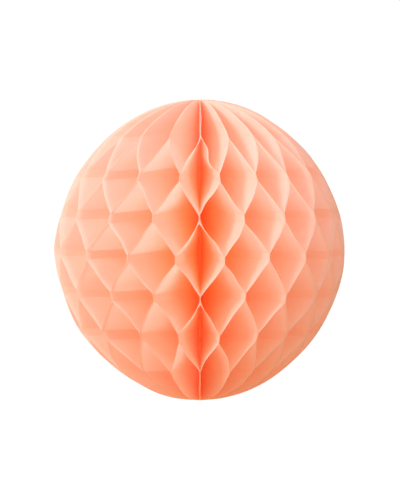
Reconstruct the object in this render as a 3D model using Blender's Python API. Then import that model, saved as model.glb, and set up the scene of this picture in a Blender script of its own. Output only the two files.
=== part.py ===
"""Paper honeycomb ball: 38 tissue leaves, glued to one another in staggered rows, fan out
round a knotted cord between two stiff half-round cards that close back to back.

Metres, +Z up along the cord, origin at the middle of the ball. The closing seam faces +Y.
Azimuth is measured from +Y, anticlockwise seen from above, so 90 degrees is -X and
180 degrees, the front, is -Y. Folded flat, every leaf and both cards lie at the front.
"""

import math

import bmesh
import bpy
from mathutils import Vector

# --- Driving dimensions ---
SPINE_HALF = 0.075  # half the height of the paper, measured on the cord
WIDTH_RATIO = 0.972  # widest radius of the ball, as a share of SPINE_HALF
OUTLINE_POWER = 1.8  # 2 would be an ellipse; less draws the shoulders in

LEAVES = 38  # tissue leaves; an even number, so that both halves match
OUTER_ROW = 3  # glue rows run from -OUTER_ROW to +OUTER_ROW, with row 0 at the middle
ROW_PITCH = 0.0206  # distance between glue rows, measured on the cord
ROW_DROOP = 0.074  # share of its height that a row loses from the cord to SPINE_HALF out
STRIP_WIDTH = 0.0042  # height of one line of glue

LEAF_THICKNESS = 0.0002
GAP = 0.0003  # clear space between neighbouring pieces
LEAF_INNER = 0.004  # the leaves start this far from the axis
POLE_FLAT = 0.0006  # width of a leaf where it ends at a pole
WALL_EASE = 0.1  # 0 makes the free walls of a cell straight, 1 bends them smoothly out of the glue
FREE_STEPS = 3  # steps across a free wall, from one glue row to the next
CAP_STEPS = 7  # rim steps from the last glue row to the pole

CARD_THICKNESS = 0.0008
CARD_INNER = 0.0022
CARD_TRIM = 0.99  # the cards are cut this much smaller than the paper
CARD_RIM_STEPS = 36

PAD_THICKNESS = 0.0006
PAD_RADIUS = 0.005
PAD_SEGMENTS = 24
PAD_PLACES = {  # height on the seam and distance from the axis, as shares of SPINE_HALF
    "closure_pad_top": (0.45, 0.70),
    "closure_pad_middle": (0.0, 0.82),
    "closure_pad_bottom": (-0.45, 0.70),
}

CORD_RADIUS = 0.001
CORD_SEGMENTS = 16
KNOT_RADIUS = 0.0018
KNOT_HEIGHT = 0.0022
KNOT_RISE = 0.0006  # how far each knot stands out of the paper
KNOT_FLAT = 0.0012  # radius of the flat crown of each knot
KNOT_STEPS = 6

FOLDED_PITCH = 0.00014  # one leaf to the next when the ball is folded flat

# --- Derived dimensions ---
STEP_ANGLE = 2 * math.pi / LEAVES
CARD_FACE = PAD_THICKNESS / 2 + GAP + CARD_THICKNESS  # seam plane to the leaf side of a card
LEAF_OFFSET = (GAP + LEAF_THICKNESS) / 2  # glue plane to the middle of a leaf
SEAM_HALF = CARD_FACE + GAP / 2  # seam plane to the first glue plane
HALF_STRIP = STRIP_WIDTH / 2 / ROW_PITCH  # half a line of glue, in rows
HALF_FAN = LEAVES / 2


def clear_scene():
    for obj in list(bpy.data.objects):
        bpy.data.objects.remove(obj, do_unlink=True)


def make_material(name, colour, roughness):
    material = bpy.data.materials.new(name)
    material.use_nodes = True
    shader = material.node_tree.nodes["Principled BSDF"]
    shader.inputs["Base Color"].default_value = (*colour, 1.0)
    shader.inputs["Roughness"].default_value = roughness
    shader.inputs["Metallic"].default_value = 0.0
    material.diffuse_color = (*colour, 1.0)
    return material


def add_object(name, bm, pivot, material):
    """Make a node of bm, whose vertices are in world space, with its origin at pivot."""
    bmesh.ops.translate(bm, vec=-pivot, verts=bm.verts)
    bmesh.ops.recalc_face_normals(bm, faces=bm.faces)
    mesh = bpy.data.meshes.new(name)
    bm.to_mesh(mesh)
    bm.free()
    mesh.materials.append(material)
    mesh.shade_smooth()
    mesh.set_sharp_from_angle(angle=math.radians(35))
    obj = bpy.data.objects.new(name, mesh)
    obj.location = pivot
    bpy.context.scene.collection.objects.link(obj)
    return obj


# --- Directions and joint axes ---
def outward(azimuth):
    return Vector((-math.sin(azimuth), math.cos(azimuth), 0.0))


def sideways(azimuth):
    """The direction of growing azimuth."""
    return Vector((-math.cos(azimuth), -math.sin(azimuth), 0.0))


def fold_pivot(turn, stack_place):
    """The vertical axis about which a piece turns to the front, into its place in the stack.

    A turn about this point carries the cord's axis to x = stack_place.
    """
    return Vector((stack_place / 2, stack_place / 2 / math.tan(turn / 2), 0.0))


def leaf_pivot(leaf):
    turn = math.pi - (leaf - 0.5) * STEP_ANGLE
    return fold_pivot(turn, (leaf - 0.5 - HALF_FAN) * FOLDED_PITCH)


def card_pivot(side):
    """side is -1 for the left card and +1 for the right one."""
    return fold_pivot(-side * math.pi, side * (HALF_FAN * FOLDED_PITCH + CARD_FACE + GAP))


# --- The outline of the ball ---
def rim_height(radius):
    """Height of the outline above the middle, at this distance from the axis."""
    share = radius / (WIDTH_RATIO * SPINE_HALF)
    return SPINE_HALF * max(0.0, 1 - share**2) ** (1 / OUTLINE_POWER)


def row_height(row, radius):
    """Glue rows droop slightly from the cord outwards; row may be a fraction."""
    return row * ROW_PITCH * (1 - ROW_DROOP * radius / SPINE_HALF)


def rim_radius(row):
    """Where a row's line meets the outline, found by halving."""
    low = 0.0
    high = WIDTH_RATIO * SPINE_HALF
    for _ in range(40):
        middle = (low + high) / 2
        if rim_height(middle) > row_height(abs(row), middle):
            low = middle
        else:
            high = middle
    return low


# --- Tissue leaves ---
def odd_share(row):
    """1 where a leaf lies on its odd glue plane (odd rows, and past the last row), 0 on its even one."""
    distance = abs(row)
    if distance >= OUTER_ROW:
        return 1.0
    below = math.floor(distance)
    free = min(1.0, max(0.0, (distance - below - HALF_STRIP) / (1 - 2 * HALF_STRIP)))
    eased = free * free * (3 - 2 * free)
    climbed = free + (eased - free) * WALL_EASE
    return climbed if below % 2 == 0 else 1 - climbed


def glue_point(plane, side, radius):
    """A point of the leaf that is glued on this side (+1 or -1) of a glue plane."""
    azimuth = plane * STEP_ANGLE
    beside = SEAM_HALF * (1 - plane / HALF_FAN) + side * LEAF_OFFSET
    return outward(azimuth) * radius + sideways(azimuth) * beside


def leaf_point(leaf, row, radius):
    """The middle of a leaf's thickness. Leaf n lies between glue planes n - 1 and n."""
    before = glue_point(leaf - 1, 1, radius)
    after = glue_point(leaf, -1, radius)
    even, odd = (after, before) if leaf % 2 == 0 else (before, after)
    point = even.lerp(odd, odd_share(row))
    point.z = row_height(row, radius)
    return point


def leaf_rows():
    """(row, rim radius) of each level of a leaf, from the bottom pole to the top one."""
    levels = [-OUTER_ROW - HALF_STRIP]
    for row in range(-OUTER_ROW, OUTER_ROW):
        for step in range(FREE_STEPS + 1):
            levels.append(row + HALF_STRIP + (1 - 2 * HALF_STRIP) * step / FREE_STEPS)
    levels.append(OUTER_ROW + HALF_STRIP)
    body = [(row, rim_radius(row)) for row in levels]
    widest = body[-1][1]
    narrowest = LEAF_INNER + POLE_FLAT
    cap = []
    for step in range(1, CAP_STEPS + 1):
        radius = widest + (narrowest - widest) * step / CAP_STEPS
        cap.append((rim_height(radius) / row_height(1, radius), radius))
    return [(-row, radius) for row, radius in reversed(cap)] + body + cap


def grid_faces(bm, near, far):
    """Close two matching strips of [inner, rim] vertex pairs into one thin sheet."""
    for low in range(len(near) - 1):
        for strip, turned in ((near, False), (far, True)):
            a, b = strip[low]
            d, c = strip[low + 1]
            for corners in ((a, b, c), (a, c, d)):
                bm.faces.new(corners[::-1] if turned else corners)
        for edge in (0, 1):
            bm.faces.new((near[low][edge], near[low + 1][edge], far[low + 1][edge]))
            bm.faces.new((near[low][edge], far[low + 1][edge], far[low][edge]))
    for end in (0, -1):
        bm.faces.new((near[end][0], near[end][1], far[end][1], far[end][0]))


def make_leaf(leaf, material):
    bm = bmesh.new()
    across = sideways((leaf - 0.5) * STEP_ANGLE) * (LEAF_THICKNESS / 2)
    strips = []
    for shift in (-across, across):
        strip = []
        for row, rim in leaf_rows():
            pair = [leaf_point(leaf, row, radius) + shift for radius in (LEAF_INNER, rim)]
            strip.append([bm.verts.new(point) for point in pair])
        strips.append(strip)
    grid_faces(bm, *strips)
    add_object(f"tissue_leaf_{leaf:02d}", bm, leaf_pivot(leaf), material)


# --- Stiff cards and the pads that close them ---
def make_card(name, side, material):
    """A flat half round, one straight edge along the cord; side is -1 for left, +1 for right."""
    bm = bmesh.new()
    outline = []
    for step in range(CARD_RIM_STEPS + 1):
        angle = math.pi * (step / CARD_RIM_STEPS - 0.5)
        radius = WIDTH_RATIO * SPINE_HALF * math.cos(angle)
        height = math.copysign(rim_height(radius), angle)
        distance = max(radius, CARD_INNER) * CARD_TRIM
        outline.append(Vector((side * (CARD_FACE - CARD_THICKNESS), distance, height * CARD_TRIM)))
    face = bm.faces.new([bm.verts.new(point) for point in outline])
    grown = bmesh.ops.extrude_face_region(bm, geom=[face])["geom"]
    moved = [item for item in grown if isinstance(item, bmesh.types.BMVert)]
    bmesh.ops.translate(bm, vec=Vector((side * CARD_THICKNESS, 0, 0)), verts=moved)
    add_object(name, bm, card_pivot(side), material)


def make_pad(name, height, distance, material):
    """A disc of adhesive between the two cards, carried by the left one."""
    bm = bmesh.new()
    bmesh.ops.create_cone(
        bm,
        cap_ends=True,
        segments=PAD_SEGMENTS,
        radius1=PAD_RADIUS,
        radius2=PAD_RADIUS,
        depth=PAD_THICKNESS,
    )
    for vert in bm.verts:
        x, y, z = vert.co
        vert.co = (z, distance * SPINE_HALF + x, height * SPINE_HALF + y)
    add_object(name, bm, card_pivot(-1), material)


# --- The cord, with a knot at each end ---
def cord_profile():
    """(radius, height) from the middle of the cord to the crown of the upper knot."""
    base = SPINE_HALF + KNOT_RISE - KNOT_HEIGHT
    profile = [(CORD_RADIUS, 0.0), (CORD_RADIUS, base)]
    for step in range(1, KNOT_STEPS + 1):
        share = step / KNOT_STEPS
        waist = CORD_RADIUS + (KNOT_FLAT - CORD_RADIUS) * share
        radius = waist + (KNOT_RADIUS - waist) * math.sin(math.pi * share)
        profile.append((radius, base + KNOT_HEIGHT * share))
    return profile


def make_cord(material):
    bm = bmesh.new()
    half = cord_profile()
    profile = [(radius, -height) for radius, height in reversed(half[1:])] + half
    rings = []
    for radius, height in profile:
        ring = []
        for step in range(CORD_SEGMENTS):
            angle = 2 * math.pi * step / CORD_SEGMENTS
            point = (radius * math.cos(angle), radius * math.sin(angle), height)
            ring.append(bm.verts.new(point))
        rings.append(ring)
    for lower, upper in zip(rings, rings[1:]):
        for step in range(CORD_SEGMENTS):
            after = (step + 1) % CORD_SEGMENTS
            bm.faces.new((lower[step], lower[after], upper[after], upper[step]))
    bm.faces.new(rings[0][::-1])
    bm.faces.new(rings[-1])
    add_object("spine_cord", bm, Vector((0, 0, 0)), material)


def main():
    clear_scene()
    tissue = make_material("peach_tissue", (0.96, 0.50, 0.32), 0.85)
    board = make_material("peach_card", (0.90, 0.46, 0.30), 0.9)
    cotton = make_material("cotton_cord", (0.93, 0.62, 0.45), 0.95)
    adhesive = make_material("adhesive_pad", (0.88, 0.86, 0.80), 0.5)
    make_cord(cotton)
    make_card("left_card", -1, board)
    make_card("right_card", 1, board)
    for name, (height, distance) in PAD_PLACES.items():
        make_pad(name, height, distance, adhesive)
    for leaf in range(1, LEAVES + 1):
        make_leaf(leaf, tissue)


main()
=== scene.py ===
"""The looks of the paper honeycomb ball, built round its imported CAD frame.

Thin tissue leaves with soft glue creases and small irregularities, two card halves with
their closing pads at the back, and a three-strand cord with a knot at each pole.

Metres, +Z up along the cord. Azimuth is measured from +Y, the closing seam, anticlockwise seen
from above, so the front of the ball is at 180 degrees.
"""

import math
import random

import bmesh
import bpy
import numpy as np
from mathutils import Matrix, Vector, noise


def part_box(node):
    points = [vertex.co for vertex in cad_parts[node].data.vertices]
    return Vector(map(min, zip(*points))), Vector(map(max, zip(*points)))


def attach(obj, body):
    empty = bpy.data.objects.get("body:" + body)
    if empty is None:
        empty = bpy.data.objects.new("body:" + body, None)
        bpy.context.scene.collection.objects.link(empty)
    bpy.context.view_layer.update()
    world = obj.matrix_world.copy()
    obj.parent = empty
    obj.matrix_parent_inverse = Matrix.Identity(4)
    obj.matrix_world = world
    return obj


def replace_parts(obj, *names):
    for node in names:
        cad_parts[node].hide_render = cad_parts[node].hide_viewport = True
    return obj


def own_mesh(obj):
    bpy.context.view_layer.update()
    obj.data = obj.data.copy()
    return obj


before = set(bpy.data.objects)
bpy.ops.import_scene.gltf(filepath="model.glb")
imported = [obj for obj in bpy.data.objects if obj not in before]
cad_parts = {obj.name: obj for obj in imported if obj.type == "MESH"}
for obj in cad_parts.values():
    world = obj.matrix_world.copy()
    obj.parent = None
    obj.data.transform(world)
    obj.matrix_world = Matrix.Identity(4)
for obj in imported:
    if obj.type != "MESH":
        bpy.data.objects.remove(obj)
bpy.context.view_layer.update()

# --- Sizes, from the frame ---
LEAF_NODES = sorted(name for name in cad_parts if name.startswith("tissue_leaf_"))
LEAVES = len(LEAF_NODES)
STEP_ANGLE = 2 * math.pi / LEAVES
HALF_FAN = LEAVES / 2

KNOT_RISE = 0.0006  # how far each knot stands out of the paper
CARD_TRIM = 0.99  # the cards are cut this much smaller than the paper
SPINE_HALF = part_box("spine_cord")[1].z - KNOT_RISE  # half the height of the paper
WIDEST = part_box("left_card")[1].y / CARD_TRIM  # widest radius of the paper
CARD_FACE = -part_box("left_card")[0].x  # seam plane to the leaf side of a card
OUTLINE_POWER = 1.8  # 2 would be an ellipse; less draws the shoulders in

OUTER_ROW = 3  # glue rows run from -OUTER_ROW to +OUTER_ROW
ROW_PITCH = 0.0206  # distance between glue rows, measured on the cord
ROW_DROOP = 0.074  # share of its height that a row loses from the cord to SPINE_HALF out
STRIP_HEIGHT = 0.0042  # mean height of one line of glue
MEAN_HALF_STRIP = STRIP_HEIGHT / 2 / ROW_PITCH  # half of it, in rows
HALVINGS = 40  # steps in the search for the rim of a row

# --- Tissue ---
SHEET_THICKNESS = 0.00012
PAIR_GAP = 0.00006  # air between two glued leaves
PAIR_OFFSET = (SHEET_THICKNESS + PAIR_GAP) / 2  # glue plane to the middle of a leaf
CLEAR_OF_CARD = 0.00015  # face of a card to the glue plane beside it
GLUE_FADE = 0.03  # rows over which the look of a line of glue fades out
ROW_TOLERANCE = 1e-6  # rows
SHEET_INNER = 0.0017  # straight edge of a leaf to the axis
POLE_FLAT = 0.0009  # width of a leaf where it ends at a pole
STRIP_STEPS = 2  # mesh steps across half a line of glue
FREE_STEPS = 10  # mesh steps from one line of glue to the next
CAP_STEPS = 14  # mesh steps from the last line of glue to the pole
COLUMNS = 20  # mesh steps from the cord to the rim

# --- How uneven handwork makes it (one standard deviation unless noted) ---
TURN_SPREAD = math.radians(0.75)  # a glue line off its place, round the cord
UNEVEN_FAN = math.radians(4.0)  # how far leaves at azimuths 90 and 270 have slid to lower ones
LIFT_SPREAD = 0.0006  # and up or down, at the rim
STRIP_SPREAD = 0.10  # share of the mean glue height
BOW_SPREAD = 0.0005  # sideways bulge of a free wall at the rim
WAVE_SPREAD = 0.00025  # S-shaped bend of a free wall at the rim
CRUMPLED = {(20, 2): -0.0017, (19, 2): -0.0006}  # (leaf, row below): walls bent by handling
POLE_BEND = math.radians(1.2)  # bend of a pair between its last glue line and the pole
POLE_OPENING = 0.0007  # most that a pair opens there
RIPPLE = 0.00022  # height of the fine ripples in the free walls
RIPPLE_LENGTH = 0.011
RIPPLE_SQUEEZE = 0.6  # ripples run outwards, so their pattern changes less that way
FINE_RIPPLE_SHARE = 0.4  # height of the finer ripples on top, as a share
FINE_RIPPLE_SCALE = 2.3  # and how much finer they are
RIM_RIPPLE = 0.00012  # unevenness of the cut edge
RIM_RIPPLE_SCALE = 2.3  # its waves in one row
LEAF_NOISE_STEP = 7.31  # these three take each leaf to a place of its own in a noise
RIM_NOISE_STEP = 1.7
PULP_NOISE_STEP = 0.37
SEED = 4009

# --- Cord ---
STRANDS = 3
STRAND_RADIUS = 0.00042
TWIST_RADIUS = 0.00045
TWIST_PITCH = 0.0055
TWIST_STEPS = 14  # mesh steps in one turn
TUBE_SIDES = 8
STRAND_UNEVEN = 0.08
STRAND_NOISE_SCALE = 300
STRAND_NOISE_STEP = 9.0
CORD_END_SUNK = 0.0003  # from the crown of a knot down to the cut end of the cord
KNOT_RADIUS = 0.00165
KNOT_TUBE = 0.0005
KNOT_HEIGHT = 0.0022
KNOT_STEPS = 72
KNOT_REACH = 3  # how far the curve of the knot goes from its middle, in its own units
CORD_SHARP = 60  # degrees between faces from which an edge looks sharp

# --- Cards and pads ---
CARD_STEPS = 120
CARD_ROUNDING = 0.00018
CARD_RIM_ANGLE = 40  # degrees between faces from which an edge is rounded
CARD_SHARP = 35
PAD_SIDES = 48
PAD_EDGE_STEPS = 6
PAD_UNEVEN = 0.03
PAD_RINGS = (0.25, 0.5, 0.75, 0.9)  # shares of the radius
PAD_NOISE_AROUND = 2
PAD_NOISE_UP = 50
PAD_SHARP = 50

BODY_OF_LEAF = "leaf_{:02d}"

# --- Tissue looks: colours it reflects and passes, with painted light and shade, and depths in from the cut edge ---
REFLECTED = (0.998, 0.84, 0.765)
# painted shade: deeper orange far in from the cut edge, where light is lost in the folds
REFLECTED_DEPTH_SHADE = (1.0, 0.86, 0.66)
# painted light: the pink tone of the lit band along the rims, near the cut edge
REFLECTED_LIT_RIM_TINT = (0.998, 0.805, 0.75)
# painted highlight at the cut edge; also the paler tone of glue lines near the rim
REFLECTED_PAINTED_HIGHLIGHT_AND_GLUE = (1.0, 0.865, 0.765)
PASSED = (0.998, 0.83, 0.755)
# painted shade: deeper orange far in from the cut edge, where light is lost in the folds
PASSED_DEPTH_SHADE = (1.0, 0.84, 0.64)
# painted light: the pink tone of the lit band along the rims, near the cut edge
PASSED_LIT_RIM_TINT = (0.998, 0.785, 0.705)
# painted highlight at the cut edge; also the paler tone of glue lines near the rim
PASSED_PAINTED_HIGHLIGHT_AND_GLUE = (1.0, 0.84, 0.74)
# depths of the painted pink tint on the lit rim band
LIT_RIM_TINT_BAND = (0.004, 0.016)
# depths over which the painted shade deepens
DEPTH_SHADE_BAND = (0.018, 0.050)
# depths of the painted highlight at the cut edge
CUT_HIGHLIGHT_BAND = (0.0003, 0.0014)
# glue lines are paler near the rim: partly the glue clearing the tissue, partly painted light lifting
# the shade of the doubled sheets
GLUE_AND_LIGHT_BAND = (0.0, 0.004)
GLUE_AND_LIGHT_PALENESS = 0.3
PASSED_SHARE = (0.51, 0.59)  # of the scattered light, in thick and thin pulp
FORWARD_SHARE = 0.4  # of the light goes straight on, except where the camera looks
FORWARD_TINT = (1.0, 0.85, 0.69)
FIBRE_SCALE = (400.0, 2600.0, 1.0)
PULP_SCALE = 160.0
MIDDLING = (0.3, 0.7)  # the range that most of a noise lies in
BUMP_DISTANCE = 0.0001

# --- Looks of the other materials ---
COTTON_DARK = (1.0, 0.90, 0.74)
COTTON_LIGHT = (1.0, 0.96, 0.84)
COTTON_PATCH = (1.0, 0.92, 0.77)
COTTON_PASSED_SHARE = 0.4
CORD_GLOW = (0.36, 0.075, 0.02)
BOARD_DARK = (0.90, 0.44, 0.27)
BOARD_LIGHT = (0.95, 0.51, 0.34)
BOARD_FIBRE = (0.98, 0.66, 0.50)
BOARD_FIBRE_SCALE = (1.0, 1600.0, 500.0)
CORE_DARK = (0.88, 0.60, 0.45)
CORE_LIGHT = (0.95, 0.72, 0.57)
FOAM_DARK = (0.80, 0.74, 0.62)
FOAM_LIGHT = (0.93, 0.90, 0.82)

# --- Stage, light and camera ---
BACKDROP = 1.05  # how bright the floor and the world look to the camera
WHITE = (1.0, 1.0, 1.0)
FLOOR_GLOW = (0.62, 0.36, 0.18)  # what the floor reflects onto the ball
FLOOR_REACH = 6.0
FLOOR_DROP = 0.25  # below the middle of the ball
BRIGHT_SIDE = (-0.34, -0.32, 1.0)  # where the brightest part of the sky is
BRIGHT_LIGHT = (1.14, 1.17, 1.20)
DIM_LIGHT = (0.64, 0.24, 0.03)  # from the opposite side
KEY_PLACE = (-1.2, -1.2, 0.8)
KEY_SIZE = 0.55
KEY_POWER = 22.0
CAMERA_ELEVATION = 3.6
CAMERA_DISTANCE = 1.5
FRAME_HEIGHT = 0.25  # what the long side of the picture spans at the ball
SENSOR = 36.0
LENS = SENSOR * CAMERA_DISTANCE / FRAME_HEIGHT
SCATTER_BOUNCES = 64  # light goes deep into folds of pale paper
ALL_BOUNCES = 72
CLEAR_BOUNCES = 128


# =============================================================================
# Geometry of the honeycomb
# =============================================================================
def outward(azimuth):
    return np.array((-math.sin(azimuth), math.cos(azimuth), 0.0))


def sideways(azimuth):
    """The direction of growing azimuth."""
    return np.array((-math.cos(azimuth), -math.sin(azimuth), 0.0))


def rim_height(radius):
    """Height of the outline above the middle, at this distance from the axis."""
    share = np.clip(1 - (radius / WIDEST) ** 2, 0.0, 1.0)
    return SPINE_HALF * share ** (1 / OUTLINE_POWER)


def row_height(row, radius):
    """Glue rows droop slightly from the cord outwards; row may be a fraction."""
    return row * ROW_PITCH * (1 - ROW_DROOP * radius / SPINE_HALF)


def rim_radius(row):
    """Where a row's line meets the outline, found by halving."""
    low, high = 0.0, WIDEST
    for _ in range(HALVINGS):
        middle = (low + high) / 2
        if rim_height(middle) > row_height(abs(row), middle):
            low = middle
        else:
            high = middle
    return low


POLE_ROW = float(rim_height(SHEET_INNER) / row_height(1, SHEET_INNER))  # where a leaf ends


def plane_of(leaf, row):
    """The glue plane that a leaf lies on at a row: leaf n lies between planes n - 1 and n."""
    wants_even = row % 2 == 0 and abs(row) <= OUTER_ROW
    return leaf if (leaf % 2 == 0) == wants_even else leaf - 1


def irregular_glue(rng):
    """{(plane, row): (turn, lift, half height in rows, bend)} of each line of glue.

    The two leaves glued there share it. The seam planes stay true, because a stiff card holds them.
    """
    lines = {}
    for plane in range(LEAVES + 1):
        steady = 0.0 if plane in (0, LEAVES) else 1.0
        for row in range(-OUTER_ROW - 1, OUTER_ROW + 2):
            slid = UNEVEN_FAN * math.sin(plane * STEP_ANGLE) ** 2
            turn = steady * (rng.gauss(0, TURN_SPREAD) - slid)
            lift = steady * rng.gauss(0, LIFT_SPREAD)
            half = MEAN_HALF_STRIP * (1 + rng.gauss(0, STRIP_SPREAD))
            bend = steady * rng.uniform(-POLE_BEND, POLE_BEND)
            lines[plane, row] = (turn, lift, half, bend)
    return lines


def leaf_levels(leaf, lines):
    """[(row, rim radius)] from pole to pole, with levels on the edges of the glue."""
    halves = [lines[plane_of(leaf, row), row][2] for row in range(-OUTER_ROW, OUTER_ROW + 1)]
    rows = []
    for row, half in zip(range(-OUTER_ROW, OUTER_ROW + 1), halves):
        rows += [row + half * step / STRIP_STEPS for step in range(-STRIP_STEPS, STRIP_STEPS + 1)]
        if row < OUTER_ROW:
            start = row + half
            end = row + 1 - halves[row + 1 + OUTER_ROW]
            rows += [start + (end - start) * step / FREE_STEPS for step in range(1, FREE_STEPS)]
    levels = [(row, rim_radius(row)) for row in rows]
    for end, sign in ((levels[0], -1), (levels[-1], 1)):
        cap = []
        for step in range(1, CAP_STEPS + 1):
            radius = end[1] + (SHEET_INNER + POLE_FLAT - end[1]) * step / CAP_STEPS
            cap.append((sign * rim_height(radius) / row_height(1, radius), radius))
        levels = cap[::-1] + levels if sign < 0 else levels + cap
    return levels


def line_place(leaf, row, radius, lines):
    """Points of a leaf along one of its glue lines; z holds only the lift of the line."""
    plane = plane_of(leaf, row)
    turn, lift, _, _ = lines[plane, row]
    azimuth = plane * STEP_ANGLE + turn
    side = 1 if plane == leaf - 1 else -1
    beside = (CARD_FACE + CLEAR_OF_CARD) * (1 - plane / HALF_FAN) + side * PAIR_OFFSET
    place = np.outer(radius, outward(azimuth)) + beside * sideways(azimuth)
    place[:, 2] = lift * radius / WIDEST
    return place


def leaf_mid_surface(leaf, lines, rng):
    """Points of the middle of a leaf, [level, column, xyz], and each level's rim radius."""
    levels = leaf_levels(leaf, lines)
    reach = np.linspace(0, 1, COLUMNS + 1)
    own_place = Vector((leaf * LEAF_NOISE_STEP, 0.0, 0.0))
    middle = sideways((leaf - 0.5) * STEP_ANGLE)
    bows = {row: rng.gauss(0, BOW_SPREAD) for row in range(-OUTER_ROW, OUTER_ROW)}
    waves = {row: rng.gauss(0, WAVE_SPREAD) for row in range(-OUTER_ROW, OUTER_ROW)}
    openings = {-1: rng.random() * POLE_OPENING, 1: rng.random() * POLE_OPENING}
    points = np.zeros((len(levels), COLUMNS + 1, 3))
    for index, (row, rim) in enumerate(levels):
        rim_noise = noise.noise(Vector((row * RIM_RIPPLE_SCALE, leaf * RIM_NOISE_STEP, 0.0)))
        radius = SHEET_INNER + (rim + RIM_RIPPLE * rim_noise - SHEET_INNER) * reach
        flat = row_height(row, radius)
        out = radius / WIDEST
        if abs(row) >= OUTER_ROW:
            sign = 1 if row > 0 else -1
            edge = sign * OUTER_ROW
            plane = plane_of(leaf, edge)
            _, _, half, bend = lines[plane, edge]
            climbed = max(0.0, (abs(row) - OUTER_ROW - half) / (POLE_ROW - OUTER_ROW - half))
            hump = math.sin(math.pi * min(1.0, climbed))
            place = line_place(leaf, edge, radius, lines)
            place += np.outer(radius * bend * hump, sideways(plane * STEP_ANGLE))
            side = 1 if plane == leaf - 1 else -1
            place += np.outer(side * openings[sign] * hump * out, middle)
            free = hump
        else:
            below = math.floor(row)
            start = below + lines[plane_of(leaf, below), below][2]
            end = below + 1 - lines[plane_of(leaf, below + 1), below + 1][2]
            share = min(1.0, max(0.0, (row - start) / (end - start)))
            low = line_place(leaf, below, radius, lines)
            high = line_place(leaf, below + 1, radius, lines)
            place = low + (high - low) * share
            free = math.sin(math.pi * share)
            bow = bows[below] * free * free + waves[below] * math.sin(2 * math.pi * share) * free
            bow += CRUMPLED.get((leaf, below), 0.0) * math.sin(2 * math.pi * share)
            place += np.outer(bow * out, middle)
        place[:, 2] += flat
        if free > 0:
            for column in range(COLUMNS + 1):
                spot = Vector((radius[column] * RIPPLE_SQUEEZE, 0.0, flat[column]))
                spot = spot / RIPPLE_LENGTH + own_place
                wave = noise.noise(spot) + FINE_RIPPLE_SHARE * noise.noise(spot * FINE_RIPPLE_SCALE)
                place[column] += middle * (wave * RIPPLE * free * out[column])
        points[index] = place
    return points, levels


def sheet_mesh(name, points, creased):
    """A grid of points as one open sheet, smooth apart from a crease along each creased row."""
    rows, columns = points.shape[:2]
    index = np.arange(rows * columns).reshape(rows, columns)
    faces = np.stack([index[:-1, :-1], index[:-1, 1:], index[1:, 1:], index[1:, :-1]], axis=-1)
    mesh = bpy.data.meshes.new(name)
    mesh.from_pydata(points.reshape(-1, 3).tolist(), [], faces.reshape(-1, 4).tolist())
    mesh.shade_smooth()
    for edge in mesh.edges:
        low, high = (vertex // columns for vertex in edge.vertices)
        edge.use_edge_sharp = low == high and bool(creased[low])
    return mesh


def add_piece(name, mesh, material, body):
    piece = bpy.data.objects.new(name, mesh)
    bpy.context.scene.collection.objects.link(piece)
    mesh.materials.append(material)
    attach(piece, body)
    return piece


def set_attribute(mesh, name, kind, values):
    attribute = mesh.attributes.new(name, kind, "POINT")
    field = "vector" if kind == "FLOAT_VECTOR" else "value"
    attribute.data.foreach_set(field, np.asarray(values, np.float32).ravel())


def glue_share(leaf, row, lines):
    """1 on a line of glue, fading to 0 just outside it."""
    nearest = round(row)
    if abs(nearest) > OUTER_ROW:
        return 0.0
    half = lines[plane_of(leaf, nearest), nearest][2]
    return min(1.0, max(0.0, 1 - (abs(row - nearest) - half) / GLUE_FADE))


def on_glue_edge(leaf, row, lines):
    """Whether a level runs along the upper or lower edge of a line of glue."""
    nearest = round(row)
    if abs(nearest) > OUTER_ROW:
        return False
    half = lines[plane_of(leaf, nearest), nearest][2]
    return abs(abs(row - nearest) - half) < ROW_TOLERANCE


def distance_to_rim(radius, height):
    """How far each point of a leaf is from its nearest cut edge, measured in the flat sheet."""
    across = radius[:, :, None] - radius[:, -1]
    up = height[:, :, None] - height[:, -1]
    return np.sqrt((across**2 + up**2).min(axis=2))


def make_leaf(leaf, lines, rng, material):
    """One leaf as an open sheet, thickened by a modifier so that it stays as thick when folded."""
    points, levels = leaf_mid_surface(leaf, lines, rng)
    creased = [on_glue_edge(leaf, row, lines) for row, _ in levels]
    mesh = sheet_mesh(f"leaf_paper_{leaf:02d}", points, creased)
    radius = np.linalg.norm(points[:, :, :2], axis=2)
    height = points[:, :, 2]
    pulp_place = np.full_like(radius, leaf * PULP_NOISE_STEP)
    flat_sheet = np.stack([radius, height, pulp_place], axis=-1)
    glue = [[glue_share(leaf, row, lines)] * (COLUMNS + 1) for row, _ in levels]
    set_attribute(mesh, "sheet", "FLOAT_VECTOR", flat_sheet)
    set_attribute(mesh, "depth", "FLOAT", distance_to_rim(radius, height))
    set_attribute(mesh, "glue", "FLOAT", glue)
    piece = add_piece(mesh.name, mesh, material, BODY_OF_LEAF.format(leaf))
    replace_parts(piece, f"tissue_leaf_{leaf:02d}")
    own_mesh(piece)
    thicken = piece.modifiers.new("paper_thickness", "SOLIDIFY")
    thicken.thickness = SHEET_THICKNESS
    thicken.offset = 0.0
    return piece


# =============================================================================
# Cord, cards and pads
# =============================================================================
def join_rings(bm, rings):
    """Faces between each ring of vertices and the next."""
    for lower, upper in zip(rings, rings[1:]):
        for step in range(len(lower)):
            after = (step + 1) % len(lower)
            bm.faces.new((lower[step], lower[after], upper[after], upper[step]))


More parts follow.
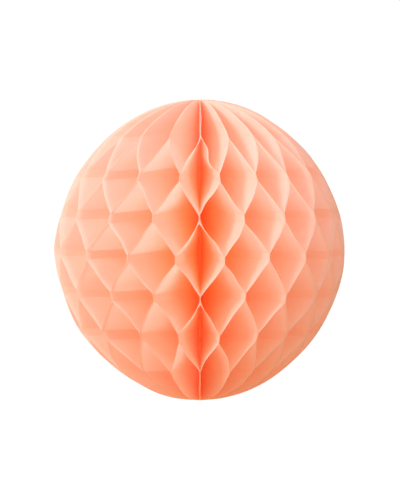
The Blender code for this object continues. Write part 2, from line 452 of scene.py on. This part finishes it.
def sweep(bm, path, radius, closed):
    """A round tube along a path of points; radius may change along it, so it is a list."""
    count = len(path)
    rings = []
    side = None
    for index, point in enumerate(path):
        before = path[index - 1] if closed or index > 0 else point
        after = path[(index + 1) % count] if closed or index < count - 1 else point
        along = (after - before).normalized()
        if side is None:
            side = along.orthogonal().normalized()
        side = (side - along * side.dot(along)).normalized()
        up = along.cross(side)
        ring = []
        for step in range(TUBE_SIDES):
            angle = 2 * math.pi * step / TUBE_SIDES
            offset = side * math.cos(angle) + up * math.sin(angle)
            ring.append(bm.verts.new(point + offset * radius[index]))
        rings.append(ring)
    if closed:
        first = min(range(TUBE_SIDES), key=lambda k: (rings[0][k].co - rings[-1][0].co).length)
        rings.append(rings[0][first:] + rings[0][:first])
    join_rings(bm, rings)
    if not closed:
        bm.faces.new(rings[0][::-1])
        bm.faces.new(rings[-1])


def finish_mesh(name, bm, sharp_degrees):
    bmesh.ops.recalc_face_normals(bm, faces=bm.faces)
    mesh = bpy.data.meshes.new(name)
    bm.to_mesh(mesh)
    bm.free()
    mesh.shade_smooth()
    mesh.set_sharp_from_angle(angle=math.radians(sharp_degrees))
    return mesh


def make_cord(material):
    """Three twisted strands, from inside one knot to inside the other."""
    bm = bmesh.new()
    half = SPINE_HALF + KNOT_RISE - CORD_END_SUNK
    turns = 2 * half / TWIST_PITCH
    steps = int(turns * TWIST_STEPS)
    for strand in range(STRANDS):
        path = []
        radius = []
        for step in range(steps + 1):
            share = step / steps
            angle = 2 * math.pi * (share * turns + strand / STRANDS)
            height = half * (2 * share - 1)
            spot = Vector((height * STRAND_NOISE_SCALE, strand * STRAND_NOISE_STEP, 0.0))
            x = math.cos(angle) * TWIST_RADIUS
            y = math.sin(angle) * TWIST_RADIUS
            path.append(Vector((x, y, height)))
            radius.append(STRAND_RADIUS * (1 + STRAND_UNEVEN * noise.noise(spot)))
        sweep(bm, path, radius, closed=False)
    mesh = finish_mesh("cord_twist", bm, CORD_SHARP)
    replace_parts(add_piece("cord_twist", mesh, material, "spine"), "spine_cord")


def make_knot(name, sign, material):
    """A small closed knot wound round the end of the cord, in the place of the CAD knot."""
    bm = bmesh.new()
    middle = sign * (SPINE_HALF + KNOT_RISE - KNOT_HEIGHT / 2)
    reach = (KNOT_RADIUS - KNOT_TUBE) / KNOT_REACH
    rise = KNOT_HEIGHT / 2 - KNOT_TUBE
    path = []
    for step in range(KNOT_STEPS):
        angle = 2 * math.pi * step / KNOT_STEPS
        x = math.sin(angle) + 2 * math.sin(2 * angle)
        y = math.cos(angle) - 2 * math.cos(2 * angle)
        z = -math.sin(3 * angle)
        path.append(Vector((x * reach, y * reach, middle + sign * z * rise)))
    sweep(bm, path, [KNOT_TUBE] * KNOT_STEPS, closed=True)
    add_piece(name, finish_mesh(name, bm, CORD_SHARP), material, "spine")


def make_card(name, side, material):
    """A stiff half round of board with softened edges; side is -1 for left, +1 for right."""
    low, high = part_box(name)
    bm = bmesh.new()
    outline = []
    for step in range(CARD_STEPS + 1):
        angle = math.pi * (step / CARD_STEPS - 0.5)
        radius = WIDEST * math.cos(angle)
        height = math.copysign(float(rim_height(radius)), angle)
        outline.append(Vector((low.x, max(radius * CARD_TRIM, low.y), height * CARD_TRIM)))
    face = bm.faces.new([bm.verts.new(point) for point in outline])
    grown = bmesh.ops.extrude_face_region(bm, geom=[face])["geom"]
    moved = [item for item in grown if isinstance(item, bmesh.types.BMVert)]
    bmesh.ops.translate(bm, vec=Vector((high.x - low.x, 0, 0)), verts=moved)
    rim_angle = math.radians(CARD_RIM_ANGLE)
    rims = [edge for edge in bm.edges if abs(edge.calc_face_angle(0)) > rim_angle]
    bmesh.ops.bevel(
        bm,
        geom=rims,
        offset=CARD_ROUNDING,
        segments=2,
        profile=0.5,
        affect="EDGES",
        clamp_overlap=True,
    )
    mesh = finish_mesh(name + "_board", bm, CARD_SHARP)
    body = "left_card_body" if side < 0 else "right_card_body"
    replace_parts(add_piece(name + "_board", mesh, material, body), name)


def make_pad(node, material):
    """A disc of soft adhesive with a rounded, slightly uneven edge."""
    low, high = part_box(node)
    centre = (low + high) / 2
    radius = (high.y - low.y) / 2
    half = (high.x - low.x) / 2
    bm = bmesh.new()
    profile = [(radius * share, half) for share in PAD_RINGS]
    for step in range(PAD_EDGE_STEPS + 1):
        angle = math.pi * (0.5 - step / PAD_EDGE_STEPS)
        profile.append((radius - half + half * math.cos(angle), half * math.sin(angle)))
    profile += [(radius * share, -half) for share in reversed(PAD_RINGS)]
    rings = []
    for reach, level in profile:
        ring = []
        for step in range(PAD_SIDES):
            angle = 2 * math.pi * step / PAD_SIDES
            y = math.cos(angle)
            z = math.sin(angle)
            spot = Vector((y * PAD_NOISE_AROUND, z * PAD_NOISE_AROUND, centre.z * PAD_NOISE_UP))
            uneven = 1 - PAD_UNEVEN * (0.5 + 0.5 * noise.noise(spot))
            place = Vector((0, y, z)) * reach * uneven
            ring.append(bm.verts.new(centre + place + Vector((level, 0, 0))))
        rings.append(ring)
    join_rings(bm, rings)
    for ring, level in ((rings[0], half), (rings[-1], -half)):
        tip = bm.verts.new(centre + Vector((level, 0, 0)))
        for step in range(PAD_SIDES):
            bm.faces.new((ring[step], ring[(step + 1) % PAD_SIDES], tip))
    mesh = finish_mesh(node + "_foam", bm, PAD_SHARP)
    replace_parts(add_piece(node + "_foam", mesh, material, "left_card_body"), node)


# =============================================================================
# Materials
# =============================================================================
class Nodes:
    """A short way to build the nodes of a material or world.

    An input called i3 is the node's fourth socket; any other name is the socket's own.
    """

    def __init__(self, owner):
        self.owner = owner
        owner.use_nodes = True
        self.tree = owner.node_tree
        self.tree.nodes.clear()

    def add(self, kind, settings=None, **inputs):
        node = self.tree.nodes.new(kind)
        for key, value in (settings or {}).items():
            setattr(node, key, value)
        for key, value in inputs.items():
            counted = key[0] == "i" and key[1:].isdigit()
            socket = node.inputs[int(key[1:]) if counted else key]
            if isinstance(value, bpy.types.NodeSocket):
                self.tree.links.new(value, socket)
            else:
                socket.default_value = value
        return node

    def finish(self, shader, output="ShaderNodeOutputMaterial"):
        self.add(output, Surface=shader)
        return self.owner


def rgba(colour):
    return (*colour, 1.0)


def mix_colour(nodes, factor, first, second):
    return nodes.add(
        "ShaderNodeMix", {"data_type": "RGBA"}, i0=factor, i6=first, i7=second
    ).outputs[2]


def ramp(nodes, value, low, high, at_low, at_high):
    """A smooth step from at_low to at_high."""
    return nodes.add(
        "ShaderNodeMapRange",
        {"interpolation_type": "SMOOTHSTEP"},
        i0=value,
        i1=low,
        i2=high,
        i3=at_low,
        i4=at_high,
    ).outputs[0]


def bumped(nodes, height, strength):
    """Normals for a surface roughened by a texture."""
    return nodes.add(
        "ShaderNodeBump", Strength=strength, Distance=BUMP_DISTANCE, Height=height
    ).outputs[0]


def lets_light_through(nodes, reflected, passed, share, normal):
    """Scatters light to both sides, and lets part of it straight on where the camera isn't looking.

    Faces met from inside a sheet's thickness are clear, so that light meets each sheet only once.
    """
    diffuse = nodes.add("ShaderNodeBsdfDiffuse", Color=reflected, Normal=normal).outputs[0]
    translucent = nodes.add("ShaderNodeBsdfTranslucent", Color=passed, Normal=normal).outputs[0]
    scattered = nodes.add("ShaderNodeMixShader", i0=share, i1=diffuse, i2=translucent).outputs[0]
    forward = nodes.add("ShaderNodeBsdfTransparent", Color=rgba(FORWARD_TINT)).outputs[0]
    seen = nodes.add("ShaderNodeLightPath").outputs["Is Camera Ray"]
    passing = nodes.add("ShaderNodeMapRange", i0=seen, i1=0.0, i2=1.0, i3=FORWARD_SHARE, i4=0.0)
    passing = passing.outputs[0]
    scattered = nodes.add("ShaderNodeMixShader", i0=passing, i1=scattered, i2=forward).outputs[0]
    clear = nodes.add("ShaderNodeBsdfTransparent").outputs[0]
    inside = nodes.add("ShaderNodeNewGeometry").outputs["Backfacing"]
    return nodes.add("ShaderNodeMixShader", i0=inside, i1=scattered, i2=clear).outputs[0]


def tissue_material():
    """Peach tissue: cloudy pulp and fine fibres, with a painted highlight at the cut edge, a painted
    pink tint on the lit band along the rim, glue lines paler near the rim (the glue, and painted
    light), and painted shade deeper towards the cord.
    """
    nodes = Nodes(bpy.data.materials.new("peach_tissue"))
    sheet = nodes.add("ShaderNodeAttribute", {"attribute_name": "sheet"}).outputs["Vector"]
    depth = nodes.add("ShaderNodeAttribute", {"attribute_name": "depth"}).outputs["Fac"]
    stretched = nodes.add("ShaderNodeMapping", Vector=sheet, Scale=FIBRE_SCALE).outputs[0]
    fibres = nodes.add("ShaderNodeTexNoise", Vector=stretched, Scale=1.0, Detail=3.0).outputs["Fac"]
    clouds = nodes.add("ShaderNodeTexNoise", Vector=sheet, Scale=PULP_SCALE, Detail=4.0).outputs["Fac"]
    glue = nodes.add("ShaderNodeAttribute", {"attribute_name": "glue"}).outputs["Fac"]
    # painted light: a pink tint on the lit band near the cut edge
    edge = ramp(nodes, depth, *LIT_RIM_TINT_BAND, 1.0, 0.0)
    # painted shade: the colours turn deeper orange far in from the cut edge
    painted_depth_shade = ramp(nodes, depth, *DEPTH_SHADE_BAND, 0.0, 1.0)
    reflected = mix_colour(nodes, painted_depth_shade, rgba(REFLECTED), rgba(REFLECTED_DEPTH_SHADE))
    reflected = mix_colour(nodes, edge, reflected, rgba(REFLECTED_LIT_RIM_TINT))
    passed = mix_colour(nodes, painted_depth_shade, rgba(PASSED), rgba(PASSED_DEPTH_SHADE))
    passed = mix_colour(nodes, edge, passed, rgba(PASSED_LIT_RIM_TINT))
    # painted highlight along the cut edge
    cut = ramp(nodes, depth, *CUT_HIGHLIGHT_BAND, 1.0, 0.0)
    # glue lines paler near the rim: the glue, and painted light over the shade of the doubled sheets
    fading = ramp(nodes, depth, *GLUE_AND_LIGHT_BAND, GLUE_AND_LIGHT_PALENESS, 0.0)
    glued = nodes.add("ShaderNodeMath", {"operation": "MULTIPLY"}, i0=glue, i1=fading).outputs[0]
    # the cut edge takes the painted highlight, and the glue lines near the rim take the glue and
    # painted light paleness
    pale = nodes.add("ShaderNodeMath", {"operation": "MAXIMUM"}, i0=glued, i1=cut).outputs[0]
    passed = mix_colour(nodes, pale, passed, rgba(PASSED_PAINTED_HIGHLIGHT_AND_GLUE))
    reflected = mix_colour(nodes, pale, reflected, rgba(REFLECTED_PAINTED_HIGHLIGHT_AND_GLUE))
    bump = bumped(nodes, fibres, 0.15)
    thick, thin = PASSED_SHARE
    low, high = MIDDLING
    share = nodes.add("ShaderNodeMapRange", i0=clouds, i1=low, i2=high, i3=thick, i4=thin).outputs[0]
    return nodes.finish(lets_light_through(nodes, reflected, passed, share, bump))


def floor_material():
    """A pale floor that throws a little warm light back up, and looks as bright as the backdrop."""
    nodes = Nodes(bpy.data.materials.new("pale_floor"))
    warm = nodes.add("ShaderNodeBsdfDiffuse", Color=rgba(FLOOR_GLOW)).outputs[0]
    plain = nodes.add("ShaderNodeEmission", Color=rgba(WHITE), Strength=BACKDROP).outputs[0]
    seen = nodes.add("ShaderNodeLightPath").outputs["Is Camera Ray"]
    return nodes.finish(nodes.add("ShaderNodeMixShader", i0=seen, i1=warm, i2=plain).outputs[0])


def cotton_material():
    """Soft peach cotton that passes some light.

    Its faint glow stands for the light that the folds bring it from all round.
    """
    nodes = Nodes(bpy.data.materials.new("cotton_cord"))
    place = nodes.add("ShaderNodeNewGeometry").outputs["Position"]
    fibres = nodes.add("ShaderNodeTexNoise", Vector=place, Scale=6000.0, Detail=4.0).outputs["Fac"]
    patches = nodes.add("ShaderNodeTexNoise", Vector=place, Scale=400.0, Detail=2.0).outputs["Fac"]
    colour = mix_colour(nodes, fibres, rgba(COTTON_DARK), rgba(COTTON_LIGHT))
    colour = mix_colour(nodes, patches, colour, rgba(COTTON_PATCH))
    bump = bumped(nodes, fibres, 0.5)
    cotton = lets_light_through(nodes, colour, colour, COTTON_PASSED_SHARE, bump)
    glow = nodes.add("ShaderNodeEmission", Color=rgba(CORD_GLOW)).outputs[0]
    return nodes.finish(nodes.add("ShaderNodeAddShader", i0=cotton, i1=glow).outputs[0])


def card_material():
    """Coated peach board: fibres and faint mottling on its faces, a paler layered core at its edge."""
    nodes = Nodes(bpy.data.materials.new("peach_card"))
    place = nodes.add("ShaderNodeTexCoord").outputs["Object"]
    stretched = nodes.add("ShaderNodeMapping", Vector=place, Scale=BOARD_FIBRE_SCALE).outputs[0]
    fibres = nodes.add("ShaderNodeTexNoise", Vector=stretched, Scale=1.0, Detail=4.0).outputs["Fac"]
    mottling = nodes.add("ShaderNodeTexNoise", Vector=place, Scale=90.0, Detail=3.0).outputs["Fac"]
    layers = nodes.add("ShaderNodeTexWave", Vector=place, Scale=900.0, Distortion=1.5).outputs["Fac"]
    mottled = ramp(nodes, mottling, *MIDDLING, 0.0, 1.0)
    face = mix_colour(nodes, mottled, rgba(BOARD_DARK), rgba(BOARD_LIGHT))
    face = mix_colour(nodes, ramp(nodes, fibres, 0.55, 0.75, 0.0, 0.35), face, rgba(BOARD_FIBRE))
    core = mix_colour(nodes, layers, rgba(CORE_DARK), rgba(CORE_LIGHT))
    normal = nodes.add("ShaderNodeTexCoord").outputs["Normal"]
    across = nodes.add("ShaderNodeSeparateXYZ", Vector=normal).outputs["X"]
    flat = nodes.add("ShaderNodeMath", {"operation": "ABSOLUTE"}, i0=across).outputs[0]
    colour = mix_colour(nodes, ramp(nodes, flat, 0.5, 0.9, 0.0, 1.0), core, face)
    bump = bumped(nodes, fibres, 0.3)
    shader = nodes.add(
        "ShaderNodeBsdfPrincipled", Roughness=0.8, Normal=bump, **{"Base Color": colour}
    )
    return nodes.finish(shader.outputs[0])


def adhesive_material():
    """Milky adhesive foam with fine bubbles."""
    nodes = Nodes(bpy.data.materials.new("adhesive_foam"))
    place = nodes.add("ShaderNodeTexCoord").outputs["Object"]
    bubbles = nodes.add("ShaderNodeTexVoronoi", Vector=place, Scale=1800.0).outputs["Distance"]
    clouds = nodes.add("ShaderNodeTexNoise", Vector=place, Scale=350.0, Detail=3.0).outputs["Fac"]
    colour = mix_colour(nodes, clouds, rgba(FOAM_DARK), rgba(FOAM_LIGHT))
    bump = bumped(nodes, bubbles, 0.4)
    gloss = ramp(nodes, clouds, *MIDDLING, 0.35, 0.6)
    shader = nodes.add(
        "ShaderNodeBsdfPrincipled", Normal=bump, Roughness=gloss, **{"Base Color": colour}
    )
    return nodes.finish(shader.outputs[0])


# =============================================================================
# Stage, light and camera
# =============================================================================
def make_stage():
    bm = bmesh.new()
    bmesh.ops.create_grid(bm, x_segments=1, y_segments=1, size=FLOOR_REACH)
    mesh = bpy.data.meshes.new("floor")
    bm.to_mesh(mesh)
    bm.free()
    floor = bpy.data.objects.new("floor", mesh)
    floor.location = (0, 0, -FLOOR_DROP)
    bpy.context.scene.collection.objects.link(floor)
    mesh.materials.append(floor_material())


def make_world():
    """White to the camera; as a light, it fades from BRIGHT_LIGHT to DIM_LIGHT across the sky."""
    world = bpy.data.worlds.new("studio")
    bpy.context.scene.world = world
    nodes = Nodes(world)
    backdrop = nodes.add("ShaderNodeBackground", Color=rgba(WHITE), Strength=BACKDROP).outputs[0]
    incoming = nodes.add("ShaderNodeNewGeometry").outputs["Incoming"]
    away = -Vector(BRIGHT_SIDE).normalized()
    towards = nodes.add("ShaderNodeVectorMath", {"operation": "DOT_PRODUCT"}, i0=incoming, i1=away)
    fading = nodes.add(
        "ShaderNodeMapRange",
        {"data_type": "FLOAT_VECTOR"},
        Vector=towards.outputs["Value"],
        i7=(-1.0, -1.0, -1.0),
        i8=(1.0, 1.0, 1.0),
        i9=DIM_LIGHT,
        i10=BRIGHT_LIGHT,
    ).outputs["Vector"]
    lighting = nodes.add("ShaderNodeBackground", Color=fading, Strength=1.0).outputs[0]
    seen = nodes.add("ShaderNodeLightPath").outputs["Is Camera Ray"]
    sky = nodes.add("ShaderNodeMixShader", i0=seen, i1=lighting, i2=backdrop).outputs[0]
    nodes.finish(sky, "ShaderNodeOutputWorld")


def add_area(name, place, size, power):
    data = bpy.data.lights.new(name, "AREA")
    data.shape = "DISK"
    data.size = size
    data.energy = power
    light = bpy.data.objects.new(name, data)
    light.location = place
    light.rotation_euler = (-Vector(place)).to_track_quat("-Z", "Y").to_euler()
    bpy.context.scene.collection.objects.link(light)


def make_camera():
    data = bpy.data.cameras.new("camera")
    data.lens = LENS
    camera = bpy.data.objects.new("camera", data)
    elevation = math.radians(CAMERA_ELEVATION)
    back = Vector((0, -math.cos(elevation), math.sin(elevation)))
    camera.location = back * CAMERA_DISTANCE
    camera.rotation_mode = "QUATERNION"
    camera.rotation_quaternion = (-back).to_track_quat("-Z", "Y")
    bpy.context.scene.collection.objects.link(camera)
    bpy.context.scene.camera = camera


def main():
    rng = random.Random(SEED)
    lines = irregular_glue(rng)
    tissue = tissue_material()
    for leaf in range(1, LEAVES + 1):
        make_leaf(leaf, lines, rng, tissue)
    cotton = cotton_material()
    make_cord(cotton)
    make_knot("cord_knot_top", 1, cotton)
    make_knot("cord_knot_bottom", -1, cotton)
    board = card_material()
    make_card("left_card", -1, board)
    make_card("right_card", 1, board)
    foam = adhesive_material()
    for node in sorted(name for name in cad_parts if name.startswith("closure_pad_")):
        make_pad(node, foam)
    make_stage()
    make_world()
    add_area("key", KEY_PLACE, KEY_SIZE, KEY_POWER)
    make_camera()
    scene = bpy.context.scene
    scene.view_settings.view_transform = "Standard"
    scene.cycles.diffuse_bounces = SCATTER_BOUNCES
    scene.cycles.max_bounces = ALL_BOUNCES
    scene.cycles.transmission_bounces = SCATTER_BOUNCES
    scene.cycles.transparent_max_bounces = CLEAR_BOUNCES


main()
